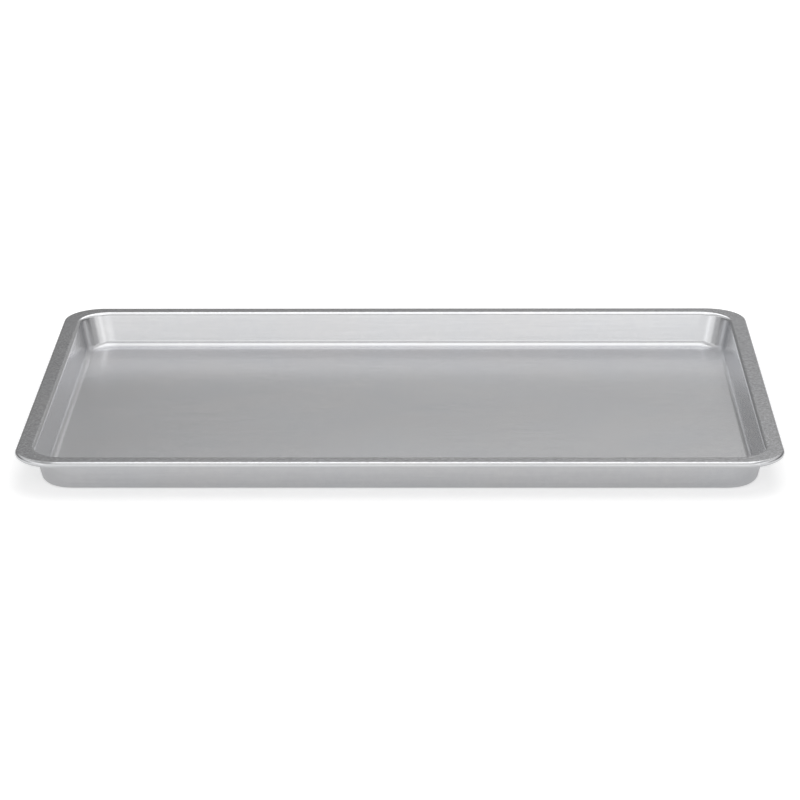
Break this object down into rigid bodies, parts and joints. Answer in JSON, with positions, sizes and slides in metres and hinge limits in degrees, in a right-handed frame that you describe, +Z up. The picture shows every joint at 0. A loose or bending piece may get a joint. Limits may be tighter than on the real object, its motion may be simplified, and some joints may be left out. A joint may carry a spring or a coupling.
{
  "type": "jelly roll pan",
  "caption": "Shallow rectangular baking tray pressed from sheet steel, with leaning walls, rounded corners and a flat flange rolled over a stiffening wire",
  "frame": {"origin": "centre of the underside of the floor, where the pan rests", "axes": "+X along the long side, +Y along the short side, +Z up out of the mouth"},
  "size_m": [0.42, 0.285, 0.0205],
  "materials": {
    "aluminised_steel": "rolled sheet steel with a dull silvery hot-dip aluminium coat, fine grain, satin",
    "wire_steel": "plain drawn mild steel wire, hidden inside the rolled rim"
  },
  "bodies": {
    "root": {"pan_body": "aluminised_steel", "rim_wire": "wire_steel"}
  },
  "joints": []
}
